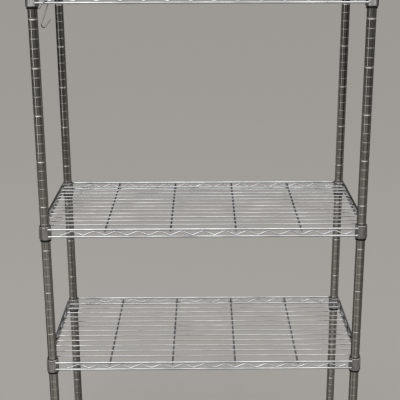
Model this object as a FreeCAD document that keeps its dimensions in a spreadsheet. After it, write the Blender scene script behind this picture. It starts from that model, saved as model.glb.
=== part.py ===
import FreeCAD, Part
import math
import os
import Sketcher

# Wire shelving unit: four grooved round posts carry four open wire shelves.
# Each shelf corner is a tapered steel collar that wedges on a split plastic
# sleeve, and the sleeve's inner rib sits in one groove of the post.
# X runs along the shelves, Y runs from front to rear, Z is up. The origin is
# on the floor, midway between the four posts.

# Driving dimensions in millimetres
DIMENSIONS = {
    # Posts: rolled tubes with a groove every inch and a wider one every fifth
    "post_spacing_x": 876.0,
    "post_spacing_y": 420.5,
    "post_diameter": 25.4,
    "post_wall": 1.4,
    "post_length": 1600.2,
    "groove_pitch": 25.4,
    "groove_start": 12.7,
    "groove_end_gap": 6.0,
    "groove_round": 1.4,
    "groove_depth": 0.7,
    "marker_round": 3.8,
    "marker_depth": 0.85,
    # Screw feet and the plugs that close the ends of each post
    "foot_base_diameter": 27.0,
    "foot_waist_diameter": 21.0,
    "foot_base_height": 4.0,
    "foot_hex_across": 17.0,
    "foot_hex_height": 9.5,
    "foot_stem_diameter": 8.0,
    "foot_stem_length": 28.0,
    "foot_seat_gap": 0.2,
    "stem_clearance": 0.05,
    "insert_lip": 2.3,
    "insert_depth": 22.0,
    "plug_clearance": 0.05,
    "cap_crown": 3.2,
    "cap_depth": 14.0,
    "cap_round": 2.0,
    # Split sleeves, thicker at the bottom than at the top
    "sleeve_height": 44.3,
    "sleeve_rib_level": 25.8,
    "sleeve_rib_round": 0.5,
    "sleeve_bore_clearance": 0.05,
    "sleeve_top_wall": 1.1,
    "sleeve_bottom_wall": 2.5,
    "sleeve_lip_width": 0.4,
    "sleeve_lip_height": 2.0,
    "sleeve_split_gap": 0.8,
    # Shelf corner collars
    "collar_seat": 6.0,
    "collar_height": 37.3,
    "collar_wall": 2.3,
    "collar_round": 1.5,
    "taper_clearance": 0.06,
    # Upper and lower rails round the shelf, and the wave wire between them
    "rail_diameter": 6.0,
    "rail_upper_level": 30.9,
    "rail_spacing": 20.6,
    "rail_seat": 4.0,
    "rail_weld_depth": 0.5,
    "truss_diameter": 4.0,
    "truss_bend_radius": 10.0,
    "truss_tail": 15.0,
    "long_wave_gap": 46.1,
    "end_wave_gap": 35.0,
    # Deck wires along the shelf and the cross wires that carry them
    "deck_diameter": 3.2,
    "deck_edge_gap": 43.9,
    "deck_bend_radius": 7.0,
    "deck_tail_drop": 2.0,
    "cross_diameter": 5.0,
    "cross_overhang": 2.0,
    "weld_depth": 0.2,
    # Loose hook on the top shelf's front lower rail
    "hook_wire": 3.2,
    "hook_length": 69.4,
    "hook_bend_radius": 7.6,
    "hook_leg": 24.0,
    "hook_inset": 37.0,
    "hook_clearance": 0.1,
}

# Angles in degrees: the sleeves' split and the hook's plane are turned about Z
ANGLES = {
    "sleeve_split_angle": 45.0,
    "hook_stem_angle": 27.0,
    "hook_flare_angle": 47.0,
    "hook_turn_angle": 50.0,
}

# Plain numbers of grooves, waves and wires
COUNTS = {
    # Plain grooves under the first wide one, and grooves from one wide one to the next
    "marker_first_count": 4,
    "marker_step_count": 5,
    # Grooves under the one that a shelf's sleeves sit in, and for the top shelf over it
    "bottom_shelf_groove_count": 3,
    "lower_shelf_groove_count": 20,
    "middle_shelf_groove_count": 36,
    "top_shelf_groove_count": 1,
    "long_wave_count": 13,
    "end_wave_count": 5,
    # Waves from the middle of the shelf to each cross wire
    "cross_inner_wave_count": 1.5,
    "cross_outer_wave_count": 4.5,
    "deck_wire_count": 12,
}

# Places and radii that follow from the driving dimensions
PLACES = {
    "post_radius": "dims.post_diameter / 2",
    "post_bore": "dims.post_diameter / 2 - dims.post_wall",
    "corner_x": "dims.post_spacing_x / 2",
    "corner_y": "dims.post_spacing_y / 2",
    "insert_bottom": "dims.foot_base_height + dims.foot_hex_height + dims.foot_seat_gap",
    "post_bottom": "insert_bottom + dims.insert_lip",
    "post_top": "post_bottom + dims.post_length",
    "plug_radius": "post_bore - dims.plug_clearance",
    "groove_reach": "dims.post_length - dims.groove_start - dims.groove_end_gap",
    "groove_count": "floor(groove_reach / dims.groove_pitch) + 1",
    "marker_count": "floor((groove_count - 1 - dims.marker_first_count) / dims.marker_step_count) + 1",
    "sleeve_bore": "post_radius + dims.sleeve_bore_clearance",
    "sleeve_top_radius": "sleeve_bore + dims.sleeve_top_wall",
    "sleeve_bottom_radius": "sleeve_bore + dims.sleeve_bottom_wall",
    "taper": "(dims.sleeve_bottom_wall - dims.sleeve_top_wall) / dims.sleeve_height",
    "collar_bottom_bore": "sleeve_bottom_radius - taper * dims.collar_seat + dims.taper_clearance",
    "collar_top_bore": "collar_bottom_bore - taper * dims.collar_height",
    "upper_rail_z": "dims.collar_seat + dims.rail_upper_level",
    "lower_rail_z": "upper_rail_z - dims.rail_spacing",
    "rail_radius": "dims.rail_diameter / 2",
    "collar_weld_radius": "collar_bottom_bore - taper * dims.rail_upper_level + dims.collar_wall",
    "rail_inner": "collar_weld_radius - dims.rail_seat",
    "rail_offset": "rail_inner + rail_radius",
    "rail_end_inset": "sqrt((collar_weld_radius - dims.rail_weld_depth) ^ 2 - rail_inner ^ 2)",
    "rail_x": "corner_x + rail_offset",
    "rail_y": "corner_y + rail_offset",
    "long_rail_length": "dims.post_spacing_x - 2 * rail_end_inset",
    "end_rail_length": "dims.post_spacing_y - 2 * rail_end_inset",
    "truss_radius": "dims.truss_diameter / 2",
    "truss_high": "upper_rail_z - rail_radius - truss_radius + dims.weld_depth",
    "truss_low": "lower_rail_z + rail_radius + truss_radius - dims.weld_depth",
    "long_truss_pitch": "(dims.post_spacing_x - 2 * dims.long_wave_gap) / dims.long_wave_count",
    "end_truss_pitch": "(dims.post_spacing_y - 2 * dims.end_wave_gap) / dims.end_wave_count",
    "cross_radius": "dims.cross_diameter / 2",
    "cross_z": "upper_rail_z - rail_radius - cross_radius + dims.weld_depth",
    "cross_length": "2 * (rail_y + dims.cross_overhang)",
    "deck_radius": "dims.deck_diameter / 2",
    "deck_z": "cross_z + cross_radius + deck_radius - dims.weld_depth",
    "deck_end_x": "rail_x - rail_radius - deck_radius + dims.weld_depth",
    "deck_tail_z": "lower_rail_z - dims.deck_tail_drop",
    "deck_pitch": "2 * (rail_y - dims.deck_edge_gap) / (dims.deck_wire_count - 1)",
    "first_shelf_z": "post_bottom + dims.groove_start - dims.sleeve_rib_level",
    "bottom_shelf_z": "first_shelf_z + dims.bottom_shelf_groove_count * dims.groove_pitch",
    "lower_shelf_z": "first_shelf_z + dims.lower_shelf_groove_count * dims.groove_pitch",
    "middle_shelf_z": "first_shelf_z + dims.middle_shelf_groove_count * dims.groove_pitch",
    "top_shelf_groove": "groove_count - 1 - dims.top_shelf_groove_count",
    "top_shelf_z": "first_shelf_z + top_shelf_groove * dims.groove_pitch",
    "hook_radius": "dims.hook_wire / 2",
    "hook_bend_z": "rail_radius + dims.hook_clearance + hook_radius - dims.hook_bend_radius",
}

SHELVES = ("bottom_shelf", "lower_shelf", "middle_shelf", "top_shelf")
CORNERS = {
    "front_left": (-1, -1),
    "front_right": (1, -1),
    "rear_left": (-1, 1),
    "rear_right": (1, 1),
}
X_AXIS = FreeCAD.Vector(1, 0, 0)
Y_AXIS = FreeCAD.Vector(0, 1, 0)
Z_AXIS = FreeCAD.Vector(0, 0, 1)
ORIGIN = FreeCAD.Vector(0, 0, 0)

doc = FreeCAD.newDocument("wire_shelving_unit")


def fill_sheet(name, cells, formula):
    """Make a sheet whose second column holds one aliased cell per entry."""
    sheet = doc.addObject("Spreadsheet::Sheet", name)
    for row, (alias, content) in enumerate(cells.items(), start=1):
        sheet.set(f"A{row}", alias)
        sheet.set(f"B{row}", f"={content}" if formula else str(content))
        sheet.setAlias(f"B{row}", alias)
    doc.recompute()
    return sheet


dims = fill_sheet("dims", DIMENSIONS | ANGLES | COUNTS, formula=False)
places = fill_sheet("places", PLACES, formula=True)


def bind(item, expressions):
    """Tie an object's properties to expressions on the sheets."""
    for prop, expression in expressions.items():
        item.setExpression(prop, expression)
    return item


def cylinder(name, radius, height, z="0"):
    """A round bar standing on height z."""
    bar = doc.addObject("Part::Cylinder", name)
    return bind(bar, {"Radius": radius, "Height": height, "Placement.Base.z": z})


def cone(name, low_radius, high_radius, height, z="0"):
    """A tapered round bar standing on height z."""
    bar = doc.addObject("Part::Cone", name)
    return bind(bar, {"Radius1": low_radius, "Radius2": high_radius, "Height": height, "Placement.Base.z": z})


def fuse(name, pieces):
    """Join several solids into one piece."""
    joined = doc.addObject("Part::MultiFuse", name)
    joined.Shapes = pieces
    return joined


def cut(name, base, tool):
    """Take a tool's volume out of a base."""
    rest = doc.addObject("Part::Cut", name)
    rest.Base = base
    rest.Tool = tool
    return rest


def rounded(name, base, radius, chosen):
    """Round the edges of a base that the chosen test picks out."""
    doc.recompute()
    picked = [number for number, edge in enumerate(base.Shape.Edges, start=1) if chosen(edge)]
    smooth = doc.addObject("Part::Fillet", name)
    smooth.Base = base
    smooth.Edges = [(number, radius, radius) for number in picked]
    return smooth


def placed(name, pieces, x="0", y="0", z="0", turn="0"):
    """Group pieces under one name, shifted and turned about Z by expressions."""
    group = doc.addObject("Part::Compound", name)
    group.Links = pieces
    # A rotation of nothing has no axis, so Z is set with a turn that the expression replaces
    group.Placement = FreeCAD.Placement(ORIGIN, FreeCAD.Rotation(Z_AXIS, 1.0))
    bind(group, {"Placement.Base.x": x, "Placement.Base.y": y, "Placement.Base.z": z})
    return bind(group, {"Placement.Rotation.Angle": turn})


def rod(name, radius, length, direction, x="0", y="0", z="0"):
    """A straight wire centred on a point, along X or along Y."""
    wire = doc.addObject("Part::Cylinder", name)
    wire.Placement = FreeCAD.Placement(ORIGIN, FreeCAD.Rotation(Z_AXIS, direction))
    start = f" - {length} / 2"
    along_x = direction == X_AXIS
    bind(wire, {"Radius": radius, "Height": length, "Placement.Base.z": z})
    return bind(wire, {
        "Placement.Base.x": x + start if along_x else x,
        "Placement.Base.y": y if along_x else y + start,
    })


def bent_wire(name, radius, edges):
    """Sweep a round section along a path of straight runs and tangent arcs."""
    path = doc.addObject("Part::Feature", f"{name}_path")
    path.Shape = Part.Wire(edges)
    section = doc.addObject("Part::Circle", f"{name}_section")
    section.setExpression("Radius", radius)
    start = edges[0].valueAt(edges[0].FirstParameter)
    direction = edges[0].tangentAt(edges[0].FirstParameter)
    section.Placement = FreeCAD.Placement(start, FreeCAD.Rotation(Z_AXIS, direction))
    wire = doc.addObject("Part::Sweep", name)
    wire.Sections = [section]
    wire.Spine = (path, [])
    wire.Solid = True
    return wire


def line(start, end):
    """A straight edge."""
    return Part.LineSegment(start, end).toShape()


def arc(start, middle, end):
    """A round edge through three points."""
    return Part.Arc(start, middle, end).toShape()


def origin_plane(body, role):
    """One of a body's own reference planes."""
    return next(plane for plane in body.Origin.OriginFeatures if plane.Role == role)


def attached_sketch(body, name, role):
    """An empty sketch on one of a body's reference planes."""
    sketch = body.newObject("Sketcher::SketchObject", name)
    sketch.AttachmentSupport = (origin_plane(body, role), [""])
    sketch.MapMode = "FlatFace"
    return sketch


def constrain(sketch, constraint, expression):
    """Add a driving constraint whose value comes from the sheets."""
    number = sketch.addConstraint(constraint)
    sketch.setExpression(f"Constraints[{number}]", expression)


def ring_of_grooves(body, name, round_size, depth, level, spacing, count):
    """Roll a row of round-bottomed grooves into the outside of a tube."""
    reach = places.post_radius + getattr(dims, f"{name}_round")
    profile = attached_sketch(body, f"{name}_profile", "XZ_Plane")
    circle = profile.addGeometry(Part.Circle(FreeCAD.Vector(reach, reach, 0), Z_AXIS, 1.0))
    constrain(profile, Sketcher.Constraint("Radius", circle, 1.0), round_size)
    across = Sketcher.Constraint("DistanceX", -1, 1, circle, 3, reach)
    constrain(profile, across, f"places.post_radius + {round_size} - {depth}")
    constrain(profile, Sketcher.Constraint("DistanceY", -1, 1, circle, 3, reach), level)
    groove = body.newObject("PartDesign::Groove", name)
    groove.Profile = profile
    groove.ReferenceAxis = (profile, ["V_Axis"])
    groove.Angle = 360
    doc.recompute()
    row = body.newObject("PartDesign::LinearPattern", f"{name}_row")
    row.Originals = [groove]
    row.Direction = (profile, ["V_Axis"])
    bind(row, {"Length": f"({count} - 1) * {spacing}", "Occurrences": count})
    body.Tip = row
    doc.recompute()


def make_post():
    """The grooved tube, standing on its lower end."""
    body = doc.addObject("PartDesign::Body", "post")
    ring = attached_sketch(body, "post_ring", "XY_Plane")
    for radius in ("places.post_radius", "places.post_bore"):
        circle = ring.addGeometry(Part.Circle(ORIGIN, Z_AXIS, places.post_radius))
        ring.addConstraint(Sketcher.Constraint("Coincident", circle, 3, -1, 1))
        constrain(ring, Sketcher.Constraint("Radius", circle, places.post_radius), radius)
    tube = body.newObject("PartDesign::Pad", "post_tube")
    tube.Profile = ring
    tube.setExpression("Length", "dims.post_length")
    doc.recompute()
    ring_of_grooves(
        body, "groove", "dims.groove_round", "dims.groove_depth",
        "dims.groove_start", "dims.groove_pitch", "places.groove_count",
    )
    ring_of_grooves(
        body, "marker", "dims.marker_round", "dims.marker_depth",
        "dims.groove_start + dims.marker_first_count * dims.groove_pitch",
        "dims.marker_step_count * dims.groove_pitch", "places.marker_count",
    )
    return body


def make_cap():
    """The plastic plug with a rounded crown that closes a post's top."""
    crown = cylinder("cap_crown_disc", "places.post_radius", "dims.cap_crown", "dims.cap_depth")
    crown_top = rounded("cap_crown_rounded", crown, dims.cap_round, lambda edge: is_top_ring(edge, crown))
    plug = cylinder("cap_plug", "places.plug_radius", "dims.cap_depth")
    return fuse("cap", [crown_top, plug])


def is_top_ring(edge, piece):
    """Whether an edge is the closed ring at the very top of a piece."""
    return edge.isClosed() and edge.CenterOfMass.z > piece.Shape.CenterOfMass.z


def make_insert():
    """The lipped plug in a post's lower end, bored for the foot's stem."""
    lip = cylinder("insert_lip_disc", "places.post_radius", "dims.insert_lip")
    plug = cylinder("insert_plug", "places.plug_radius", "dims.insert_lip + dims.insert_depth")
    bore = cylinder(
        "insert_bore", "dims.foot_stem_diameter / 2 + dims.stem_clearance",
        "dims.insert_lip + dims.insert_depth",
    )
    return cut("insert", fuse("insert_blank", [lip, plug]), bore)


def make_foot():
    """The screw foot: a tapered pad, a hexagon for the spanner and a stem."""
    pad = cone(
        "foot_pad", "dims.foot_base_diameter / 2", "dims.foot_waist_diameter / 2", "dims.foot_base_height",
    )
    nut = doc.addObject("Part::Prism", "foot_hexagon")
    nut.Polygon = 6
    bind(nut, {
        "Circumradius": "dims.foot_hex_across / sqrt(3)",
        "Height": "dims.foot_hex_height",
        "Placement.Base.z": "dims.foot_base_height",
    })
    stem = cylinder(
        "foot_stem", "dims.foot_stem_diameter / 2", "dims.foot_stem_length",
        "dims.foot_base_height + dims.foot_hex_height",
    )
    return fuse("foot", [pad, nut, stem])


def make_sleeve():
    """Both halves of a tapered sleeve, with the rib that sits in a groove."""
    wedge = cone(
        "sleeve_wedge", "places.sleeve_bottom_radius", "places.sleeve_top_radius", "dims.sleeve_height",
    )
    lip = cylinder(
        "sleeve_lip", "places.sleeve_bottom_radius + dims.sleeve_lip_width", "dims.sleeve_lip_height",
    )
    bore = cylinder("sleeve_bore", "places.sleeve_bore", "dims.sleeve_height")
    rib = doc.addObject("Part::Torus", "sleeve_rib")
    bind(rib, {
        "Radius1": "places.sleeve_bore",
        "Radius2": "dims.sleeve_rib_round",
        "Placement.Base.z": "dims.sleeve_rib_level",
    })
    whole = fuse("sleeve_whole", [cut("sleeve_shell", fuse("sleeve_blank", [wedge, lip]), bore), rib])
    split = doc.addObject("Part::Box", "sleeve_split")
    width = "2 * (places.sleeve_bottom_radius + dims.sleeve_lip_width)"
    bind(split, {
        "Length": width,
        "Width": "dims.sleeve_split_gap",
        "Height": "dims.sleeve_height",
        "Placement.Base.x": f"-{width} / 2",
        "Placement.Base.y": "-dims.sleeve_split_gap / 2",
    })
    return cut("sleeve", whole, split)


def make_collar():
    """A shelf's corner collar, tapered inside and out."""
    outside = cone(
        "collar_outside", "places.collar_bottom_bore + dims.collar_wall",
        "places.collar_top_bore + dims.collar_wall", "dims.collar_height",
    )
    bore = cone("collar_bore", "places.collar_bottom_bore", "places.collar_top_bore", "dims.collar_height")
    rough = cut("collar_rough", outside, bore)
    return rounded("collar", rough, dims.collar_round, is_outer_ring)


def is_outer_ring(edge):
    """Whether an edge is one of the collar's two outer rings."""
    upper = edge.CenterOfMass.z > dims.collar_height / 2
    bore = places.collar_top_bore if upper else places.collar_bottom_bore
    return edge.isClosed() and edge.Curve.Radius > bore + dims.collar_wall / 2


def wave_edges(pitch, waves):
    """A rounded wave in the XZ plane about X = 0, from a trough to a trough and a run beyond it."""
    bend = dims.truss_bend_radius
    rise = (places.truss_high - places.truss_low) / 2
    middle = (places.truss_high + places.truss_low) / 2
    half = pitch / 2
    root = math.sqrt(half ** 2 + 4 * rise * (rise - 2 * bend))
    slope = 2 * math.atan(2 * rise / (half + root))

    def on_bend(turn, angle):
        """A point of one bend, at an angle from the bend's middle."""
        side = -1 if turn % 2 == 0 else 1
        x = (turn - waves) * half + bend * math.sin(angle)
        return FreeCAD.Vector(x, 0, middle + side * (rise - bend * (1 - math.cos(angle))))

    edges = []
    for turn in range(2 * waves + 1):
        if edges:
            edges.append(line(last, on_bend(turn, -slope)))
        last = on_bend(turn, slope)
        edges.append(arc(on_bend(turn, -slope), on_bend(turn, 0), last))
    tail = FreeCAD.Vector(math.cos(slope), 0, math.sin(slope)) * dims.truss_tail
    return edges + [line(last, last + tail)]


def turned_to_y(name, wire):
    """The same wire, turned from X to Y."""
    return placed(name, [wire], turn="90")


def deck_edges():
    """A deck wire in the XZ plane, with both ends bent down inside the rails."""
    end = places.deck_end_x
    top = places.deck_z
    bend = dims.deck_bend_radius
    cut_corner = bend * (1 - math.sqrt(0.5))
    points = [
        FreeCAD.Vector(end, 0, places.deck_tail_z),
        FreeCAD.Vector(end, 0, top - bend),
        FreeCAD.Vector(end - cut_corner, 0, top - cut_corner),
        FreeCAD.Vector(end - bend, 0, top),
    ]
    mirrored = [FreeCAD.Vector(-point.x, 0, point.z) for point in points]
    return [
        line(mirrored[0], mirrored[1]),
        arc(mirrored[1], mirrored[2], mirrored[3]),
        line(mirrored[3], points[3]),
        arc(points[3], points[2], points[1]),
        line(points[1], points[0]),
    ]


def hook_edges():
    """A flat hook in the XZ plane about the axis of the rail that it hangs on."""
    bend = dims.hook_bend_radius
    stem = math.radians(dims.hook_stem_angle)
    flare = math.radians(dims.hook_flare_angle)
    drop = (dims.hook_length - dims.hook_wire) / 2 - bend
    upper = FreeCAD.Vector(0, 0, places.hook_bend_z)
    centre = upper - FreeCAD.Vector(drop * math.tan(stem) - bend / math.cos(stem), 0, drop)

    def on_bend(angle):
        """A point of the upper bend, at an angle above the horizontal."""
        return upper + FreeCAD.Vector(bend * math.cos(angle), 0, bend * math.sin(angle))

    mouth = math.pi - flare
    leg = FreeCAD.Vector(-math.sin(flare), 0, -math.cos(flare)) * dims.hook_leg
    points = [on_bend(mouth) + leg, on_bend(mouth), on_bend((mouth - stem) / 2), on_bend(-stem)]
    opposite = [centre * 2 - point for point in points]
    return [
        line(points[0], points[1]),
        arc(points[1], points[2], points[3]),
        line(points[3], opposite[3]),
        arc(opposite[3], opposite[2], opposite[1]),
        line(opposite[1], opposite[0]),
    ]


def corner_place(sides):
    """The expressions for one post's place in plan."""
    across, along = sides
    return {"x": f"{across} * places.corner_x", "y": f"{along} * places.corner_y"}


def make_uprights():
    """A post, a cap and a foot for every corner, and the four inserts as one group."""
    levels = {
        "post": (make_post(), "places.post_bottom"),
        "cap": (make_cap(), "places.post_top - dims.cap_depth"),
        "foot": (make_foot(), "0"),
    }
    insert = make_insert()
    nodes = []
    inserts = []
    for corner, sides in CORNERS.items():
        plan = corner_place(sides)
        for piece, (source, level) in levels.items():
            nodes.append(placed(f"{corner}_{piece}", [source], z=level, **plan))
        inserts.append(placed(f"insert_{corner}", [insert], **plan))
    return nodes + [placed("post_inserts", inserts, z="places.insert_bottom")]


def make_shelf_pieces():
    """The pieces of one shelf, with height zero at the foot of its sleeves."""
    sleeve = make_sleeve()
    collar = make_collar()
    pieces = {kind: [] for kind in (
        "collars", "long_rails", "end_rails", "long_trusses", "end_trusses", "deck_wires", "cross_wires",
    )}
    for corner, sides in CORNERS.items():
        plan = corner_place(sides)
        split = placed(f"sleeve_{corner}", [sleeve], turn="dims.sleeve_split_angle", **plan)
        pieces[f"{corner}_sleeve"] = [split]
        pieces["collars"].append(placed(f"collar_{corner}", [collar], z="dims.collar_seat", **plan))
    long_wave = bent_wire(
        "long_truss", "places.truss_radius", wave_edges(places.long_truss_pitch, dims.long_wave_count),
    )
    end_wave = turned_to_y("end_truss", bent_wire(
        "end_truss_along_x", "places.truss_radius", wave_edges(places.end_truss_pitch, dims.end_wave_count),
    ))
    for side in (-1, 1):
        for level in ("upper", "lower"):
            height = f"places.{level}_rail_z"
            pieces["long_rails"].append(rod(
                f"long_rail_{level}_{side + 1}", "places.rail_radius", "places.long_rail_length",
                X_AXIS, y=f"{side} * places.rail_y", z=height,
            ))
            pieces["end_rails"].append(rod(
                f"end_rail_{level}_{side + 1}", "places.rail_radius", "places.end_rail_length",
                Y_AXIS, x=f"{side} * places.rail_x", z=height,
            ))
        pieces["long_trusses"].append(
            placed(f"long_truss_{side + 1}", [long_wave], y=f"{side} * places.rail_y"))
        pieces["end_trusses"].append(
            placed(f"end_truss_{side + 1}", [end_wave], x=f"{side} * places.rail_x"))
        for wave in ("inner", "outer"):
            pieces["cross_wires"].append(rod(
                f"cross_{wave}_{side + 1}", "places.cross_radius", "places.cross_length", Y_AXIS,
                x=f"{side} * dims.cross_{wave}_wave_count * places.long_truss_pitch", z="places.cross_z",
            ))
    deck_wire = bent_wire("deck_wire", "places.deck_radius", deck_edges())
    for index in range(dims.deck_wire_count):
        row = f"({index} - (dims.deck_wire_count - 1) / 2) * places.deck_pitch"
        pieces["deck_wires"].append(placed(f"deck_wire_{index}", [deck_wire], y=row))
    return pieces


def make_shelves():
    """Every kind of shelf piece at the height of each shelf."""
    nodes = []
    pieces = make_shelf_pieces()
    for shelf in SHELVES:
        for kind, parts in pieces.items():
            nodes.append(placed(f"{shelf}_{kind}", parts, z=f"places.{shelf}_z"))
    return nodes


def make_hook():
    """The loose hook, hung over the top shelf's front lower rail by the left post."""
    wire = bent_wire("hook_along_x", "places.hook_radius", hook_edges())
    return placed(
        "s_hook", [wire], x="-places.corner_x + dims.hook_inset", y="-places.rail_y",
        z="places.top_shelf_z + places.lower_rail_z", turn="dims.hook_turn_angle",
    )


nodes = make_uprights() + make_shelves() + [make_hook()]
doc.recompute()

# Nothing is written unless every object and every node is sound
for item in doc.Objects:
    if "Invalid" in item.State or "Error" in item.State:
        raise RuntimeError(f"{item.Label} failed: {item.State}")
for node in nodes:
    if node.Shape.isNull() or not node.Shape.isValid() or not node.Shape.Solids:
        raise RuntimeError(f"{node.Label} has no valid solid")

os.makedirs("parts", exist_ok=True)
for node in nodes:
    node.Shape.exportStep(f"parts/{node.Label}.step")
    print(node.Label, len(node.Shape.Solids), round(node.Shape.Volume, 1))
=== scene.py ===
"""Dresses a wire shelving unit: rolled posts, drawn wires, plated finishes and a studio whose
floor carries painted shade.
"""

import logging
import math
from abc import ABC, abstractmethod
from collections.abc import Callable, Sequence
from dataclasses import dataclass, field
from enum import Enum

import bmesh
import bpy
from mathutils import Matrix, Quaternion, Vector


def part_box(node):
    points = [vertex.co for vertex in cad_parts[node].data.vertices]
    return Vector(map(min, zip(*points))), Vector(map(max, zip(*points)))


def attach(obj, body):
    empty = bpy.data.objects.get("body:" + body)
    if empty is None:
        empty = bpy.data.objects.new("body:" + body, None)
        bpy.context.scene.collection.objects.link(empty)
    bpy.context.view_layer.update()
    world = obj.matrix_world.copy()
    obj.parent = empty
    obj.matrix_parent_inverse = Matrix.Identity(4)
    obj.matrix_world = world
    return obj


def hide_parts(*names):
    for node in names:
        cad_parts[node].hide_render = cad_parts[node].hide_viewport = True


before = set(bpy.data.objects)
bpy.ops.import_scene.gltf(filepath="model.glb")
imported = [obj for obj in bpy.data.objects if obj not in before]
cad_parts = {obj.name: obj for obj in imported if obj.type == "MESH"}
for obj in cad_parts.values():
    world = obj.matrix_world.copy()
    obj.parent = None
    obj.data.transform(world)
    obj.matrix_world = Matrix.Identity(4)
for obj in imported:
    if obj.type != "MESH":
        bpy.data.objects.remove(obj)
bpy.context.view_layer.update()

LOG = logging.getLogger("shelving")
MM = 0.001
UPRIGHTS = "uprights"
X_AXIS = Vector((1, 0, 0))
Y_AXIS = Vector((0, 1, 0))
Z_AXIS = Vector((0, 0, 1))

Rgb = tuple[float, float, float]
Triple = tuple[float, float, float]
Span = tuple[float, float]
Outline = list[tuple[float, float]]
Ring = list[bmesh.types.BMVert]
Socket = bpy.types.NodeSocket
RadiusAt = Callable[[float, float], float]

WHITE: Rgb = (1.0, 1.0, 1.0)
FULL_SPAN: Span = (0.0, 1.0)
# Most of a noise lies between these factors.
NOISE_SPAN: Span = (0.3, 0.7)


class Corner(Enum):
    """The four posts, named as seen from the front."""

    FRONT_LEFT = "front_left"
    FRONT_RIGHT = "front_right"
    REAR_LEFT = "rear_left"
    REAR_RIGHT = "rear_right"

    def axis(self) -> Vector:
        """The foot of this post's centre line, on the floor."""
        low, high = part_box(f"{self.value}_post")
        return Vector(((low.x + high.x) / 2, (low.y + high.y) / 2, 0))


class ShelfLevel(Enum):
    """The four shelves, which are also the bodies that slide on the posts."""

    BOTTOM = "bottom_shelf"
    LOWER = "lower_shelf"
    MIDDLE = "middle_shelf"
    TOP = "top_shelf"


class Slot(Enum):
    """The record's material slots."""

    POST_CHROME = "post_chrome"
    WIRE_CHROME = "wire_chrome"
    COLLAR_CHROME = "collar_chrome"
    SLEEVE_PLASTIC = "sleeve_plastic"
    BLACK_PLASTIC = "black_plastic"
    FOOT_STEEL = "foot_steel"
    HOOK_STEEL = "hook_steel"


class NodeSheet:
    """A material's node tree, with short calls for the nodes that the finishes share."""

    def __init__(self, name: str) -> None:
        """Start a material with its one surface shader.

        Args:
            name: Name of the new material.
        """
        self.material = bpy.data.materials.new(name)
        self.material.use_nodes = True
        self.tree = self.material.node_tree
        self.shader = next(node for node in self.tree.nodes if node.type == "BSDF_PRINCIPLED")
        self.place = self.add("ShaderNodeTexCoord").outputs["Object"]

    def add(self, kind: str) -> bpy.types.Node:
        """Add one node by its type name."""
        return self.tree.nodes.new(kind)

    def link(self, source: Socket, target: Socket) -> None:
        """Join an output to an input."""
        self.tree.links.new(source, target)

    def noise(self, grain: Sequence[float], detail: float = 3.0, contrast: float = 0.55) -> Socket:
        """Cloudy variation over the surface.

        Args:
            grain: Features per metre along X, Y and Z.
            detail: How many finer layers are added.
            contrast: Strength of each finer layer.

        Returns:
            The factor, about 0.5 on average.
        """
        mapping = self.add("ShaderNodeMapping")
        mapping.inputs["Scale"].default_value = grain
        self.link(self.place, mapping.inputs["Vector"])
        cloud = self.add("ShaderNodeTexNoise")
        cloud.inputs["Scale"].default_value = 1.0
        cloud.inputs["Detail"].default_value = detail
        cloud.inputs["Roughness"].default_value = contrast
        self.link(mapping.outputs["Vector"], cloud.inputs["Vector"])
        return cloud.outputs["Fac"]

    def spangle(self, per_metre: float) -> Socket:
        """Crystal patches of zinc, each with its own level.

        Args:
            per_metre: Patches along a metre.

        Returns:
            One level per patch, as a colour.
        """
        patches = self.add("ShaderNodeTexVoronoi")
        patches.inputs["Scale"].default_value = per_metre
        self.link(self.place, patches.inputs["Vector"])
        return patches.outputs["Color"]

    def between(self, factor: Socket, low: Rgb, high: Rgb, span: Span = NOISE_SPAN) -> Socket:
        """Colour that runs from one tone to another.

        Args:
            factor: Variation to follow.
            low: Colour at the span's start.
            high: Colour at the span's end.
            span: Factors at which each colour is reached.

        Returns:
            The colour.
        """
        ramp = self.add("ShaderNodeValToRGB")
        for stop, position, colour in zip(ramp.color_ramp.elements, span, (low, high)):
            stop.position = position
            stop.color = (*colour, 1.0)
        self.link(factor, ramp.inputs["Fac"])
        return ramp.outputs["Color"]

    def spread(self, factor: Socket, low: float, high: float) -> Socket:
        """Number that runs between two values.

        Args:
            factor: Variation to follow.
            low: Value where the factor is low.
            high: Value where the factor is high.

        Returns:
            The number.
        """
        scale = self.add("ShaderNodeMapRange")
        scale.inputs["From Min"].default_value, scale.inputs["From Max"].default_value = NOISE_SPAN
        scale.inputs["To Min"].default_value = low
        scale.inputs["To Max"].default_value = high
        self.link(factor, scale.inputs["Value"])
        return scale.outputs["Result"]

    def multiply(self, factor: Socket, first: Socket, second: Socket) -> Socket:
        """Darken one colour by another.

        Args:
            factor: How much of the second colour is used.
            first: Colour underneath.
            second: Colour on top.

        Returns:
            The mixed colour.
        """
        mix = self.add("ShaderNodeMix")
        mix.data_type = "RGBA"
        mix.blend_type = "MULTIPLY"
        self.link(factor, mix.inputs["Factor"])
        self.link(first, mix.inputs["A"])
        self.link(second, mix.inputs["B"])
        return mix.outputs["Result"]

    def relief(self, height: Socket, strength: float, depth: float) -> None:
        """Raise the surface's shading by a height.

        Args:
            height: Variation to follow.
            strength: Share of the relief that shows.
            depth: Height of the relief in metres.
        """
        bump = self.add("ShaderNodeBump")
        bump.inputs["Strength"].default_value = strength
        bump.inputs["Distance"].default_value = depth
        self.link(height, bump.inputs["Height"])
        self.link(bump.outputs["Normal"], self.shader.inputs["Normal"])

    def surface(self, colour: Socket, roughness: Socket, metallic: float) -> None:
        """Set the shader's main inputs.

        Args:
            colour: Surface colour.
            roughness: Surface roughness.
            metallic: 1 for metal, 0 for plastic.
        """
        self.link(colour, self.shader.inputs["Base Color"])
        self.link(roughness, self.shader.inputs["Roughness"])
        self.shader.inputs["Metallic"].default_value = metallic


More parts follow.
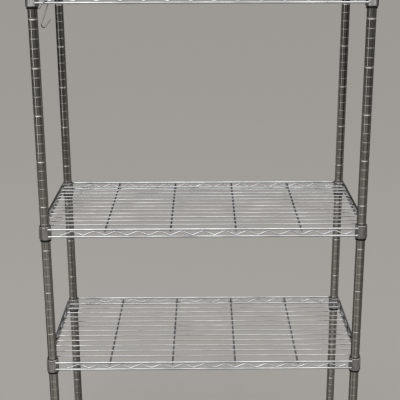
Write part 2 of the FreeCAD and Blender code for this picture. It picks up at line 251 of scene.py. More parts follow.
@dataclass(frozen=True)
class Finish(ABC):
    """A surface finish that belongs to one of the record's slots."""

    name: str
    slot: Slot

    @abstractmethod
    def lay_out(self, sheet: NodeSheet) -> None:
        """Fill a new material's nodes."""

    def material(self) -> bpy.types.Material:
        """This finish's material, made on first use."""
        made = bpy.data.materials.get(f"{self.name}_finish")
        if made is None:
            sheet = NodeSheet(f"{self.name}_finish")
            self.lay_out(sheet)
            made = sheet.material
        return made


@dataclass(frozen=True)
class PlatedFinish(Finish):
    """Nickel and chromium over steel, with streaks in its colour that on the posts are painted
    reflections, dulled by handling.
    """

    deep: Rgb
    pale: Rgb
    smudge: Rgb
    gloss: Span
    streak_and_reflection_grain: Triple
    edge: Rgb
    streak_span: Span = NOISE_SPAN
    streak_layers: float = 4.0
    streak_contrast: float = 0.6
    smudges: float = 9.0
    smudge_layers: float = 5.0
    smudge_span: Span = (0.45, 0.75)
    veil: float = 0.4
    ripple: float = 900.0
    ripple_share: float = 0.05
    ripple_depth: float = 0.02 * MM

    def lay_out(self, sheet: NodeSheet) -> None:
        """Streaked colour, painted reflections on the posts, under handling smudges, with a faint
        ripple in the plating.
        """
        # Painted reflection: on the posts these light and dark vertical streaks stand for
        # reflections; on the wires and collars they are a streaked tone.
        streak_and_reflection = sheet.noise(self.streak_and_reflection_grain, self.streak_layers, self.streak_contrast)
        smudge = sheet.noise((self.smudges,) * 3, self.smudge_layers)
        plain = sheet.between(streak_and_reflection, self.deep, self.pale, self.streak_span)
        veil = sheet.between(smudge, WHITE, self.smudge, self.smudge_span)
        colour = sheet.multiply(sheet.spread(smudge, 0.0, self.veil), plain, veil)
        sheet.surface(colour, sheet.spread(smudge, *self.gloss), metallic=1.0)
        sheet.shader.inputs["Specular Tint"].default_value = (*self.edge, 1.0)
        ripple = sheet.noise((self.ripple,) * 3, detail=1.0)
        sheet.relief(ripple, self.ripple_share, self.ripple_depth)


@dataclass(frozen=True)
class MouldedFinish(Finish):
    """Black moulded plastic with a fine spark-eroded grain and paler rubbed patches."""

    deep: Rgb
    rubbed: Rgb
    gloss: Span
    sheen: float = 0.4
    rub_grain: Triple = (90.0, 90.0, 40.0)
    rub_layers: float = 5.0
    rub_span: Span = (0.48, 0.8)
    grain: float = 2600.0
    grain_share: float = 0.35
    grain_depth: float = 0.05 * MM

    def lay_out(self, sheet: NodeSheet) -> None:
        """Rubbed patches over a grained skin."""
        rub = sheet.noise(self.rub_grain, self.rub_layers)
        colour = sheet.between(rub, self.deep, self.rubbed, self.rub_span)
        sheet.surface(colour, sheet.spread(rub, *self.gloss), metallic=0.0)
        sheet.shader.inputs["Specular IOR Level"].default_value = self.sheen
        grain = sheet.noise((self.grain,) * 3, detail=2.0)
        sheet.relief(grain, self.grain_share, self.grain_depth)


@dataclass(frozen=True)
class ZincFinish(Finish):
    """Zinc-plated steel, with crystal patches and darker worn places."""

    deep: Rgb
    pale: Rgb
    worn: Rgb
    gloss: Span
    patches: float = 420.0
    wear_grain: float = 60.0
    wear_layers: float = 5.0
    wear_contrast: float = 0.65
    wear_span: Span = (0.5, 0.8)
    wear_share: Span = (0.1, 1.0)
    pits: float = 1800.0
    pit_share: float = 0.15
    pit_depth: float = 0.03 * MM

    def lay_out(self, sheet: NodeSheet) -> None:
        """Crystal patches under worn clouds, with a fine pitted skin."""
        wear = sheet.noise((self.wear_grain,) * 3, self.wear_layers, self.wear_contrast)
        crystals = sheet.between(sheet.spangle(self.patches), self.deep, self.pale, FULL_SPAN)
        worn = sheet.between(wear, WHITE, self.worn, self.wear_span)
        colour = sheet.multiply(sheet.spread(wear, *self.wear_share), crystals, worn)
        sheet.surface(colour, sheet.spread(wear, *self.gloss), metallic=1.0)
        pits = sheet.noise((self.pits,) * 3)
        sheet.relief(pits, self.pit_share, self.pit_depth)


@dataclass(frozen=True)
class Finishes:
    """Every finish on the unit."""

    # Painted reflection: the post's deep and pale tones run in vertical streaks that stand for
    # reflections.
    post: Finish = PlatedFinish(
        "rolled_post", Slot.POST_CHROME,
        deep=(0.088, 0.086, 0.08), pale=(0.45, 0.434, 0.402), smudge=(0.74, 0.72, 0.69),
        gloss=(0.04, 0.09), streak_and_reflection_grain=(170.0, 170.0, 0.4), edge=(0.05, 0.05, 0.05),
        streak_span=(0.38, 0.62),
    )
    wire: Finish = PlatedFinish(
        "drawn_wire", Slot.WIRE_CHROME,
        deep=(0.30, 0.304, 0.308), pale=(0.64, 0.648, 0.655), smudge=(0.80, 0.79, 0.77),
        gloss=(0.08, 0.16), streak_and_reflection_grain=(9.0, 9.0, 60.0), edge=(0.1, 0.1, 0.1),
    )
    # Painted light: a paler copy of the drawn wire's chrome, so that the wave wires read as lit
    # brighter than the rails and deck.
    wave: Finish = PlatedFinish(
        "bent_wire_painted_light", Slot.WIRE_CHROME,
        deep=(0.43, 0.434, 0.438), pale=(0.78, 0.785, 0.79), smudge=(0.80, 0.79, 0.77),
        gloss=(0.06, 0.12), streak_and_reflection_grain=(9.0, 9.0, 60.0), edge=(0.05, 0.05, 0.05),
    )
    collar: Finish = PlatedFinish(
        "pressed_collar", Slot.COLLAR_CHROME,
        deep=(0.15, 0.148, 0.145), pale=(0.54, 0.53, 0.515), smudge=(0.70, 0.69, 0.67),
        gloss=(0.20, 0.32), streak_and_reflection_grain=(120.0, 120.0, 20.0), edge=(0.3, 0.3, 0.3),
    )
    sleeve: Finish = MouldedFinish(
        "sleeve", Slot.SLEEVE_PLASTIC,
        deep=(0.006, 0.006, 0.006), rubbed=(0.02, 0.0195, 0.019), gloss=(0.42, 0.6), sheen=0.15,
    )
    plug: Finish = MouldedFinish(
        "plug", Slot.BLACK_PLASTIC,
        deep=(0.016, 0.016, 0.017), rubbed=(0.05, 0.05, 0.05), gloss=(0.38, 0.58),
    )
    foot: Finish = ZincFinish(
        "foot", Slot.FOOT_STEEL,
        deep=(0.42, 0.42, 0.42), pale=(0.62, 0.62, 0.60), worn=(0.62, 0.58, 0.52),
        gloss=(0.26, 0.44),
    )
    hook: Finish = ZincFinish(
        "hook", Slot.HOOK_STEEL,
        deep=(0.12, 0.12, 0.118), pale=(0.25, 0.25, 0.245), worn=(0.7, 0.67, 0.62),
        gloss=(0.08, 0.18),
    )


class PieceMesh:
    """A mesh under construction, to which turned, drawn and welded shapes are added."""

    def __init__(self) -> None:
        """Start an empty mesh."""
        self.bm = bmesh.new()

    def skin(self, rings: Sequence[Ring]) -> None:
        """Join neighbouring rings of the same length with faces."""
        for lower, upper in zip(rings, rings[1:]):
            for number, corner in enumerate(lower):
                after = (number + 1) % len(lower)
                self.bm.faces.new((corner, lower[after], upper[after], upper[number]))

    def enclose(self, rings: Sequence[Ring]) -> None:
        """Join rings into a solid with flat ends."""
        self.skin(rings)
        self.bm.faces.new(reversed(rings[0]))
        self.bm.faces.new(rings[-1])

    def ring(self, centre: Vector, across: Vector, along: Vector, sides: int) -> Ring:
        """A closed ring of points.

        Args:
            centre: Middle of the ring.
            across: Radius as a vector, at the first point.
            along: Radius as a vector, a quarter turn later.
            sides: Number of points.

        Returns:
            The ring's points in order.
        """
        turns = (math.tau * number / sides for number in range(sides))
        rim = (centre + across * math.cos(turn) + along * math.sin(turn) for turn in turns)
        return [self.bm.verts.new(point) for point in rim]

    def turn(self, outline: Outline, foot: Vector, sides: int = 72) -> None:
        """Turn a closed outline about an upright line.

        Args:
            outline: Radius and height of each corner, outside first, from low to high.
            foot: Point that heights are measured from.
            sides: Number of faces round the line.
        """
        rings = [
            self.ring(foot + Z_AXIS * height, X_AXIS * radius, Y_AXIS * radius, sides)
            for radius, height in outline
        ]
        self.skin([*rings, rings[0]])

    def swell(
        self, levels: Sequence[float], radius_at: RadiusAt, foot: Vector, sides: int = 96,
    ) -> None:
        """Build a closed solid about an upright line from its radius at each angle and height.

        Args:
            levels: Heights of the rings, from low to high.
            radius_at: Radius for an angle in radians and a height.
            foot: Point that heights are measured from.
            sides: Number of points in each ring.
        """
        rings = []
        for level in levels:
            centre = foot + Z_AXIS * level
            turns = (math.tau * number / sides for number in range(sides))
            rim = (
                Vector((math.cos(turn), math.sin(turn), 0)) * radius_at(turn, level)
                for turn in turns
            )
            rings.append([self.bm.verts.new(centre + point) for point in rim])
        self.enclose(rings)

    def draw(
        self, path: Sequence[Vector], radius: float, normal: Vector, sides: int = 20,
        chamfer: float = 0.3 * MM,
    ) -> None:
        """Draw a round wire along a flat path, with chamfered cut ends.

        Args:
            path: Points of the wire's centre line.
            radius: Radius of the wire.
            normal: Direction square to the path's plane.
            sides: Number of faces round the wire.
            chamfer: Width of the chamfer at each end.
        """
        start = (path[1] - path[0]).normalized()
        end = (path[-1] - path[-2]).normalized()
        stations = [(path[0], start, radius - chamfer), (path[0] + start * chamfer, start, radius)]
        for before, here, after in zip(path, path[1:], path[2:]):
            way = (here - before).normalized() + (after - here).normalized()
            stations.append((here, way.normalized(), radius))
        stations += [(path[-1] - end * chamfer, end, radius), (path[-1], end, radius - chamfer)]
        self.enclose([
            self.ring(centre, normal * size, way.cross(normal) * size, sides)
            for centre, way, size in stations
        ])

    def spot(self, place: Vector, size: Vector) -> None:
        """Add one weld spot, a small flattened bead.

        Args:
            place: Middle of the bead.
            size: Half its extent along X, Y and Z.
        """
        matrix = Matrix.Translation(place) @ Matrix.Diagonal((*size, 1.0))
        bmesh.ops.create_icosphere(self.bm, subdivisions=2, radius=1.0, matrix=matrix)

    def piece(self, name: str, sharp: float = 38.0) -> bpy.types.Object:
        """Close the mesh and put it in the scene.

        Args:
            name: Name of the piece.
            sharp: Edges that bend by more than this many degrees stay crisp.

        Returns:
            The piece.
        """
        mesh = bpy.data.meshes.new(name)
        bmesh.ops.recalc_face_normals(self.bm, faces=self.bm.faces)
        self.bm.to_mesh(mesh)
        self.bm.free()
        mesh.shade_smooth()
        mesh.set_sharp_from_angle(angle=math.radians(sharp))
        made = bpy.data.objects.new(name, mesh)
        bpy.context.scene.collection.objects.link(made)
        return made


class SubAssembly(ABC):
    """A group of pieces that is built and dressed together."""

    @abstractmethod
    def build(self) -> list[bpy.types.Object]:
        """Build and dress every piece of the group."""

    @staticmethod
    def fit(piece: bpy.types.Object, body: str, finish: Finish, *nodes: str) -> bpy.types.Object:
        """Give a new piece its body, its finish and the solids that it stands for.

        Args:
            piece: The new piece.
            body: Body that it moves with.
            finish: Its finish.
            nodes: Solids that it stands for.

        Returns:
            The piece.
        """
        piece.data.materials.clear()
        piece.data.materials.append(finish.material())
        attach(piece, body)
        if nodes:
            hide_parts(*nodes)
        return piece

    @staticmethod
    def dress(node: str, finish: Finish) -> bpy.types.Object:
        """Put a finish on a solid that is shown as it is.

        Args:
            node: Name of the solid.
            finish: Its finish.

        Returns:
            The solid's object.
        """
        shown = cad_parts[node]
        shown.data.materials.clear()
        shown.data.materials.append(finish.material())
        return shown


@dataclass
class Upright(SubAssembly):
    """One rolled post."""

    corner: Corner
    finishes: Finishes
    radius: float = 12.7 * MM
    wall: float = 1.4 * MM
    rim: float = 0.4 * MM
    groove_start: float = 12.7 * MM
    groove_pitch: float = 25.4 * MM
    groove_end_gap: float = 6.0 * MM
    groove_half: float = 0.8 * MM
    groove_depth: float = 0.34 * MM
    marker_half: float = 2.7 * MM
    marker_depth: float = 1.1 * MM
    groove_edge: float = 0.2 * MM
    marker_first: int = 4
    marker_step: int = 5
    groove_steps: int = 10

    def groove(self, number: int) -> Outline:
        """Outline of one rolled groove and its edges, counted from the post's foot.

        Args:
            number: Number of the groove, from 0.

        Returns:
            Radius and height of its points.
        """
        wide = number % self.marker_step == self.marker_first
        half = self.marker_half if wide else self.groove_half
        depth = self.marker_depth if wide else self.groove_depth
        level = self.groove_start + number * self.groove_pitch
        shares = (2 * step / self.groove_steps - 1 for step in range(self.groove_steps + 1))
        dip = [
            (self.radius - depth * math.cos(share * math.pi / 2) ** 2, level + half * share)
            for share in shares
        ]
        edge = half + self.groove_edge
        return [(self.radius, level - edge), *dip, (self.radius, level + edge)]

    def outline(self, length: float) -> Outline:
        """Outline of the whole tube.

        Args:
            length: Length of the post.

        Returns:
            Radius and height of its points, up the outside and down the bore.
        """
        grooved = length - self.groove_start - self.groove_end_gap
        count = math.floor(grooved / self.groove_pitch) + 1
        outside = [point for number in range(count) for point in self.groove(number)]
        bore = self.radius - self.wall
        return [
            (self.radius - self.rim, 0.0), (self.radius, self.rim),
            *outside,
            (self.radius, length - self.rim), (self.radius - self.rim, length),
            (bore, length), (bore, 0.0),
        ]

    def build(self) -> list[bpy.types.Object]:
        """The rolled post, grooved from its foot to its top."""
        node = f"{self.corner.value}_post"
        low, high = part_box(node)
        tube = PieceMesh()
        tube.turn(self.outline(high.z - low.z), self.corner.axis() + Z_AXIS * low.z)
        return [self.fit(tube.piece(f"rolled_{node}"), UPRIGHTS, self.finishes.post, node)]


@dataclass
class EndPlugs(SubAssembly):
    """The moulded caps and inserts that close both ends of the posts."""

    finishes: Finishes
    inserts: str = "post_inserts"

    def build(self) -> list[bpy.types.Object]:
        """Every cap and the group of inserts in their finish."""
        nodes = [*(f"{corner.value}_cap" for corner in Corner), self.inserts]
        return [self.dress(node, self.finishes.plug) for node in nodes]


@dataclass
class ScrewFoot(SubAssembly):
    """One levelling foot: a tapered pad, a chamfered hexagon and a threaded stem."""

    corner: Corner
    finishes: Finishes
    pad_radius: float = 13.5 * MM
    pad_waist: float = 10.5 * MM
    pad_height: float = 4.0 * MM
    pad_edge: float = 0.7 * MM
    pad_steps: int = 4
    hex_across: float = 17.0 * MM
    hex_height: float = 9.5 * MM
    hex_rows: tuple[float, ...] = (0.0, 0.02, 0.04, 0.06, 0.08, 0.1, 0.13)
    hex_sides: int = 144
    stem_radius: float = 4.0 * MM
    stem_length: float = 28.0 * MM
    thread_pitch: float = 1.25 * MM
    thread_depth: float = 0.6 * MM
    thread_steps: int = 8
    stem_sides: int = 48

    def pad_at(self, turn: float, level: float) -> float:
        """Radius of the pad, the same at every angle, with a rounded lower edge."""
        if level < self.pad_edge:
            return self.pad_radius - (self.pad_edge - level) ** 2 / self.pad_edge
        share = (level - self.pad_edge) / (self.pad_height - self.pad_edge)
        return self.pad_radius + (self.pad_waist - self.pad_radius) * share

    def hex_at(self, turn: float, level: float) -> float:
        """Radius of the hexagon, with its corners chamfered by 30 degrees above and below."""
        flat = self.hex_across / 2
        sixth = math.tau / 6
        to_flat = turn % sixth - sixth / 2
        from_end = min(level - self.pad_height, self.pad_height + self.hex_height - level)
        return min(flat / math.cos(to_flat), flat + from_end * math.sqrt(3))

    def stem_at(self, turn: float, level: float) -> float:
        """Radius of the stem, which climbs one pitch in each turn."""
        phase = (level / self.thread_pitch - turn / math.tau) % 1.0
        return self.stem_radius - self.thread_depth * abs(2 * phase - 1)

    def build(self) -> list[bpy.types.Object]:
        """The whole foot as one piece."""
        node = f"{self.corner.value}_foot"
        foot = self.corner.axis()
        shape = PieceMesh()
        edge = [self.pad_edge * step / self.pad_steps for step in range(self.pad_steps + 1)]
        shape.swell([*edge, self.pad_height], self.pad_at, foot)
        ends = [self.hex_height * share for share in self.hex_rows]
        rise = [*ends, *(self.hex_height - end for end in reversed(ends))]
        shape.swell([self.pad_height + level for level in rise], self.hex_at, foot, self.hex_sides)
        base = self.pad_height + self.hex_height
        rows = round(self.stem_length / self.thread_pitch * self.thread_steps)
        stem = [base + self.stem_length * row / rows for row in range(rows + 1)]
        shape.swell(stem, self.stem_at, foot, self.stem_sides)
        return [self.fit(shape.piece(f"threaded_{node}"), node, self.finishes.foot, node)]


@dataclass
class WireShelf(SubAssembly):
    """One shelf: rails, wave wires, deck and cross wires, collars and its sleeves' finish."""

    level: ShelfLevel
    finishes: Finishes
    rail_radius: float = 3.0 * MM
    rail_sides: int = 28
    wave_radius: float = 2.0 * MM
    wave_bend: float = 10.0 * MM
    wave_tail: float = 15.0 * MM
    long_run: float = 783.8 * MM
    long_waves: int = 13
    end_run: float = 350.5 * MM
    end_waves: int = 5
    deck_radius: float = 1.6 * MM
    deck_sides: int = 16
    deck_bend: float = 7.0 * MM
    deck_wires: int = 12
    cross_radius: float = 2.5 * MM
    cross_sides: int = 24
    cross_inner_share: float = 1 / 3
    collar_low: float = 17.420 * MM
    collar_high: float = 16.242 * MM
    collar_wall: float = 2.3 * MM
    collar_rim: float = 1.5 * MM
    weld: float = 1.9 * MM
    weld_flat: float = 0.6
    weld_along: float = 1.3
    weld_across: float = 0.8
    weld_tall: float = 1.2
    weld_inset: float = 0.85
    bend_steps: int = 6
    pieces: list[bpy.types.Object] = field(default_factory=list)

    def node(self, kind: str) -> str:
        """Name of one of this shelf's solids."""
        return f"{self.level.value}_{kind}"

    def span(self, kind: str, radius: float) -> tuple[Vector, Vector]:
        """The lowest and highest centre lines of a kind of wire.

        Args:
            kind: Kind of wire.
            radius: Its radius.

        Returns:
            Both corners of the box round the centre lines.
        """
        low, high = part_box(self.node(kind))
        inset = Vector((radius, radius, radius))
        return low + inset, high - inset

    def keep(self, shape: PieceMesh, kind: str, finish: Finish) -> None:
        """Add a finished piece that stands for one kind of solid."""
        node = self.node(kind)
        self.pieces.append(self.fit(shape.piece(f"formed_{node}"), self.level.value, finish, node))

    def quarter_bend(self) -> list[float]:
        """Angles of the points along a quarter turn."""
        return [math.pi / 2 * step / self.bend_steps for step in range(self.bend_steps + 1)]

    def wave(self, run: float, waves: int, low: float, high: float) -> list[Vector]:
        """Centre line of a wave wire along X, from a trough to a trough and a tail beyond it.

        Args:
            run: Length from the first trough to the last.
            waves: Number of whole waves.
            low: Height of the troughs.
            high: Height of the crests.

        Returns:
            Points along the wave, with the first and last trough at the same distance from X = 0.
        """
        rise = (high - low) / 2
        half = run / waves / 2
        # The straight flanks touch both of their bends only at this slope.
        root = math.sqrt(half ** 2 + 4 * rise * (rise - 2 * self.wave_bend))
        slope = 2 * math.atan(2 * rise / (half + root))
        points = []
        for turn in range(2 * waves + 1):
            side = -1 if turn % 2 == 0 else 1
            for step in range(self.bend_steps + 1):
                angle = slope * (2 * step / self.bend_steps - 1)
                along = (turn - waves) * half + self.wave_bend * math.sin(angle)
                height = (low + high) / 2 + side * (rise - self.wave_bend * (1 - math.cos(angle)))
                points.append(Vector((along, 0, height)))
        tail = Vector((math.cos(slope), 0, math.sin(slope))) * self.wave_tail
        return [*points, points[-1] + tail]

    def deck_line(self, end: float, foot: float, top: float) -> list[Vector]:
        """Centre line of a deck wire along X, with both ends bent down.

        Args:
            end: How far the bent ends are from the middle.
            foot: Height of the cut ends.
            top: Height of the straight run.

        Returns:
            Points along the wire, about X = 0.
        """
        reach = self.deck_bend
        bend = [
            Vector((end - reach * (1 - math.sin(turn)), 0, top - reach * (1 - math.cos(turn))))
            for turn in self.quarter_bend()
        ]
        right = [bend[0] - X_AXIS * self.deck_radius, *bend, Vector((end, 0, foot))]
        left = [Vector((-point.x, 0, point.z)) for point in reversed(right)]
        return left + right

    def make_rails(self) -> None:
        """Upper and lower rails along the shelf and across its ends."""
        low, high = self.span("long_rails", self.rail_radius)
        ends = (low.x - self.rail_radius, high.x + self.rail_radius)
        rails = PieceMesh()
        for y in (low.y, high.y):
            for z in (low.z, high.z):
                path = [Vector((x, y, z)) for x in ends]
                rails.draw(path, self.rail_radius, Y_AXIS, self.rail_sides)
        self.keep(rails, "long_rails", self.finishes.wire)
        low, high = self.span("end_rails", self.rail_radius)
        ends = (low.y - self.rail_radius, high.y + self.rail_radius)
        rails = PieceMesh()
        for x in (low.x, high.x):
            for z in (low.z, high.z):
                path = [Vector((x, y, z)) for y in ends]
                rails.draw(path, self.rail_radius, X_AXIS, self.rail_sides)
        self.keep(rails, "end_rails", self.finishes.wire)

    def make_waves(self) -> None:
        """Wave wires between the upper and lower rails."""
        low, high = self.span("long_trusses", self.wave_radius)
        line = self.wave(self.long_run, self.long_waves, low.z, high.z)
        wires = PieceMesh()
        for y in (low.y, high.y):
            wires.draw([point + Y_AXIS * y for point in line], self.wave_radius, Y_AXIS)
        self.keep(wires, "long_trusses", self.finishes.wave)
        low, high = self.span("end_trusses", self.wave_radius)
        line = self.wave(self.end_run, self.end_waves, low.z, high.z)
        wires = PieceMesh()
        for x in (low.x, high.x):
            wires.draw([Vector((x, point.x, point.z)) for point in line], self.wave_radius, X_AXIS)
        self.keep(wires, "end_trusses", self.finishes.wave)

    def make_deck(self) -> None:
        """Deck wires along the shelf, and the cross wires that carry them."""
        low, high = self.span("deck_wires", self.deck_radius)
        line = self.deck_line(high.x, low.z - self.deck_radius, high.z)
        deck = PieceMesh()
        for row in self.deck_rows():
            path = [point + Y_AXIS * row for point in line]
            deck.draw(path, self.deck_radius, Y_AXIS, self.deck_sides)
        self.keep(deck, "deck_wires", self.finishes.wire)
        low, high = self.span("cross_wires", self.cross_radius)
        ends = (low.y - self.cross_radius, high.y + self.cross_radius)
        cross = PieceMesh()
        for column in self.cross_columns():
            path = [Vector((column, y, low.z)) for y in ends]
            cross.draw(path, self.cross_radius, X_AXIS, self.cross_sides)
        self.keep(cross, "cross_wires", self.finishes.wire)

    def deck_rows(self) -> list[float]:
        """Y of each deck wire."""
        low, high = self.span("deck_wires", self.deck_radius)
        gaps = self.deck_wires - 1
        return [low.y + (high.y - low.y) * row / gaps for row in range(self.deck_wires)]

    def cross_columns(self) -> list[float]:
        """X of each cross wire."""
        low, high = self.span("cross_wires", self.cross_radius)
        return [low.x, low.x * self.cross_inner_share, high.x * self.cross_inner_share, high.x]

    def make_collars(self) -> None:
        """Tapered corner collars with rounded rims."""
        low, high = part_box(self.node("collars"))
        height = high.z - low.z
        rim = self.collar_rim
        bore_low = self.collar_low - self.collar_wall
        bore_high = self.collar_high - self.collar_wall
        lower = [
            (self.collar_low - rim * (1 - math.sin(turn)), rim * (1 - math.cos(turn)))
            for turn in self.quarter_bend()
        ]
        upper = [
            (self.collar_high - rim * (1 - math.cos(turn)), height - rim * (1 - math.sin(turn)))
            for turn in self.quarter_bend()
        ]
        slope = (self.collar_low - self.collar_high) / height
        flank = [(self.collar_low - slope * level, level) for level in (2 * rim, height - 2 * rim)]
        outline = [*lower, *flank, *upper, (bore_high, height), (bore_low, 0.0)]
        collars = PieceMesh()
        for corner in Corner:
            collars.turn(outline, corner.axis() + Z_AXIS * low.z)
        self.keep(collars, "collars", self.finishes.collar)

    def make_welds(self) -> None:
        """Weld spots where wires cross and where rails meet the collars."""
        spots = PieceMesh()
        crossing = self.span("cross_wires", self.cross_radius)[1].z + self.cross_radius
        rail_low, rail_high = self.span("long_rails", self.rail_radius)
        end_high = self.span("end_rails", self.rail_radius)[1]
        bead = Vector((self.weld, self.weld, self.weld * self.weld_flat))
        for column in self.cross_columns():
            for row in (*self.deck_rows(), rail_low.y, rail_high.y):
                spots.spot(Vector((column, row, crossing)), bead)
        along, across = self.weld * self.weld_along, self.weld * self.weld_across
        tall = self.weld * self.weld_tall
        inset = self.rail_radius * self.weld_inset
        ends = (
            (rail_high.x + self.rail_radius, rail_high.y - inset, Vector((along, across, tall))),
            (end_high.x - inset, end_high.y + self.rail_radius, Vector((across, along, tall))),
        )
        for corner in Corner:
            side, front = (math.copysign(1, place) for place in corner.axis().xy)
            for z in (rail_low.z, rail_high.z):
                for x, y, size in ends:
                    spots.spot(Vector((side * x, front * y, z)), size)
        name = self.node("weld_spots")
        self.pieces.append(self.fit(spots.piece(name), self.level.value, self.finishes.wire))

    def build(self) -> list[bpy.types.Object]:
        """Every piece of the shelf, and the finish of the sleeves that it sits on."""
        self.make_rails()
        self.make_waves()
        self.make_deck()
        self.make_collars()
        self.make_welds()
        sleeves = [self.node(f"{corner.value}_sleeve") for corner in Corner]
        return [*self.pieces, *(self.dress(sleeve, self.finishes.sleeve) for sleeve in sleeves)]


@dataclass
class Hook(SubAssembly):
    """The loose hook on the top shelf's front rail."""

    finishes: Finishes
    node: str = "s_hook"

    def build(self) -> list[bpy.types.Object]:
        """The bent hook in its own finish."""
        return [self.dress(self.node, self.finishes.hook)]


@dataclass(frozen=True)
class Softbox:
    """A flat lamp that faces a point."""

    name: str
    place: Triple
    aim: Triple
    width: float
    height: float
    watts: float

    def light(self) -> None:
        """Put the lamp in the scene."""
        lamp = bpy.data.lights.new(self.name, "AREA")
        lamp.shape = "RECTANGLE"
        lamp.size = self.width
        lamp.size_y = self.height
        lamp.energy = self.watts
        holder = bpy.data.objects.new(self.name, lamp)
        holder.location = self.place
        holder.rotation_mode = "QUATERNION"
        way = Vector(self.aim) - Vector(self.place)
        holder.rotation_quaternion = way.to_track_quat("-Z", "Y")
        bpy.context.scene.collection.objects.link(holder)


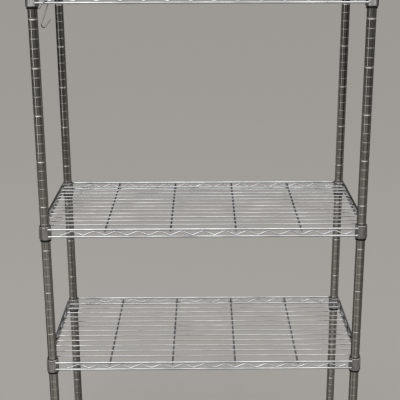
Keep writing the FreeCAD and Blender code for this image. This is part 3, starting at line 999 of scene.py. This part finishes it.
@dataclass(frozen=True)
class Studio:
    """Pale floor with painted shade far from the object, soft lamps and the camera."""

    floor_radius: float = 60.0
    floor_sides: int = 128
    floor_roughness: float = 0.85
    floor_sheen: float = 0.1
    floor_near: Rgb = (0.295, 0.283, 0.264)
    # Painted shade: the floor deepens to this tone far to the object's sides and front.
    floor_painted_shade: Rgb = (0.105, 0.1025, 0.0985)
    falloff_way: Triple = (0.8, -0.6, 0.0)
    falloff_span: Span = (0.8, 7.0)
    sky_way: Triple = (0.0, -0.5, 0.87)
    sky_span: Span = (-0.2, 0.7)
    sky_low: Rgb = (0.20, 0.20, 0.20)
    sky_high: Rgb = (1.35, 1.35, 1.35)
    lamps: tuple[Softbox, ...] = (
        Softbox(
            "overhead", place=(0.0, -0.9, 4.2), aim=(0.0, 0.0, 0.0),
            width=4.0, height=1.2, watts=36.0,
        ),
        Softbox(
            "key", place=(-2.2, -3.8, 3.6), aim=(0.0, 0.0, 0.9),
            width=3.4, height=3.0, watts=36.0,
        ),
        Softbox(
            "left_panel", place=(-2.66, -2.74, 1.05), aim=(0.0, 0.0, 0.9),
            width=0.6, height=1.6, watts=4.8,
        ),
    )
    camera_place: Triple = (0.0039, -2.4867, 1.7621)
    camera_yaw: float = 0.5104
    camera_pitch: float = -16.1659
    camera_roll: float = -0.0885
    focal_pixels: float = 870.2
    image_pixels: float = 400.0
    axis_pixel: Span = (212.0, 176.0)
    sensor: float = 36.0

    def floor_tone_with_painted_shade(self, sheet: NodeSheet) -> Socket:
        """Colour of the floor, with painted shade that deepens with the distance to the object's
        sides and front.

        Args:
            sheet: The floor's material.

        Returns:
            The colour.
        """
        place = sheet.add("ShaderNodeSeparateXYZ")
        sheet.link(sheet.place, place.inputs["Vector"])
        aside = sheet.add("ShaderNodeMath")
        aside.operation = "ABSOLUTE"
        sheet.link(place.outputs["X"], aside.inputs[0])
        either_side = sheet.add("ShaderNodeCombineXYZ")
        sheet.link(aside.outputs["Value"], either_side.inputs["X"])
        sheet.link(place.outputs["Y"], either_side.inputs["Y"])
        reach = sheet.add("ShaderNodeVectorMath")
        reach.operation = "DOT_PRODUCT"
        reach.inputs[1].default_value = self.falloff_way
        sheet.link(either_side.outputs["Vector"], reach.inputs[0])
        share = sheet.add("ShaderNodeMapRange")
        share.interpolation_type = "SMOOTHSTEP"
        near, far = self.falloff_span
        share.inputs["From Min"].default_value = near
        share.inputs["From Max"].default_value = far
        sheet.link(reach.outputs["Value"], share.inputs["Value"])
        return sheet.between(share.outputs["Result"], self.floor_near, self.floor_painted_shade, FULL_SPAN)

    def make_floor(self) -> None:
        """A wide round floor, pale near the object, with painted shade far to its sides and front.
        """
        sheet = NodeSheet("studio_floor")
        sheet.link(self.floor_tone_with_painted_shade(sheet), sheet.shader.inputs["Base Color"])
        sheet.shader.inputs["Roughness"].default_value = self.floor_roughness
        sheet.shader.inputs["Specular IOR Level"].default_value = self.floor_sheen
        mesh = bpy.data.meshes.new("studio_floor")
        disc = bmesh.new()
        bmesh.ops.create_circle(
            disc, cap_ends=True, segments=self.floor_sides, radius=self.floor_radius,
        )
        disc.to_mesh(mesh)
        disc.free()
        mesh.materials.append(sheet.material)
        floor = bpy.data.objects.new("studio_floor", mesh)
        bpy.context.scene.collection.objects.link(floor)

    def make_sky(self) -> None:
        """Soft light from all round, stronger from above and from the front."""
        world = bpy.data.worlds.new("studio_light")
        world.use_nodes = True
        bpy.context.scene.world = world
        nodes, links = world.node_tree.nodes, world.node_tree.links
        way = nodes.new("ShaderNodeTexCoord")
        height = nodes.new("ShaderNodeVectorMath")
        height.operation = "DOT_PRODUCT"
        height.inputs[1].default_value = self.sky_way
        links.new(way.outputs["Generated"], height.inputs[0])
        share = nodes.new("ShaderNodeMapRange")
        share.interpolation_type = "SMOOTHSTEP"
        low, high = self.sky_span
        share.inputs["From Min"].default_value = low
        share.inputs["From Max"].default_value = high
        links.new(height.outputs["Value"], share.inputs["Value"])
        ramp = nodes.new("ShaderNodeValToRGB")
        for stop, colour in zip(ramp.color_ramp.elements, (self.sky_low, self.sky_high)):
            stop.color = (*colour, 1.0)
        links.new(share.outputs["Result"], ramp.inputs["Fac"])
        links.new(ramp.outputs["Color"], nodes["Background"].inputs["Color"])

    def make_lamps(self) -> None:
        """The soft lamps, of which the tall panel draws a bright line on each post."""
        for lamp in self.lamps:
            lamp.light()

    def make_camera(self) -> None:
        """The camera at the photograph's angle."""
        lens = bpy.data.cameras.new("camera")
        lens.sensor_width = self.sensor
        lens.lens = self.focal_pixels * self.sensor / self.image_pixels
        lens.shift_x = 0.5 - self.axis_pixel[0] / self.image_pixels
        lens.shift_y = self.axis_pixel[1] / self.image_pixels - 0.5
        yaw, pitch = math.radians(self.camera_yaw), math.radians(self.camera_pitch)
        level = math.cos(pitch)
        ahead = Vector((math.sin(yaw) * level, math.cos(yaw) * level, math.sin(pitch)))
        camera = bpy.data.objects.new("camera", lens)
        camera.location = self.camera_place
        camera.rotation_mode = "QUATERNION"
        roll = Quaternion(Z_AXIS, math.radians(self.camera_roll))
        camera.rotation_quaternion = ahead.to_track_quat("-Z", "Y") @ roll
        bpy.context.scene.collection.objects.link(camera)
        bpy.context.scene.camera = camera

    def build(self) -> None:
        """The whole studio."""
        bpy.context.scene.view_settings.view_transform = "Standard"
        self.make_floor()
        self.make_sky()
        self.make_lamps()
        self.make_camera()


def main() -> None:
    """Build every sub-assembly in order and report its pieces."""
    logging.basicConfig(level=logging.INFO, format="%(message)s")
    finishes = Finishes()
    assemblies: list[SubAssembly] = [
        *(Upright(corner, finishes) for corner in Corner),
        EndPlugs(finishes),
        *(ScrewFoot(corner, finishes) for corner in Corner),
        *(WireShelf(level, finishes) for level in ShelfLevel),
        Hook(finishes),
    ]
    for assembly in assemblies:
        group = type(assembly).__name__
        for piece in assembly.build():
            LOG.info("%s: %s, %d faces", group, piece.name, len(piece.data.polygons))
    Studio().build()


if __name__ == "__main__":
    main()
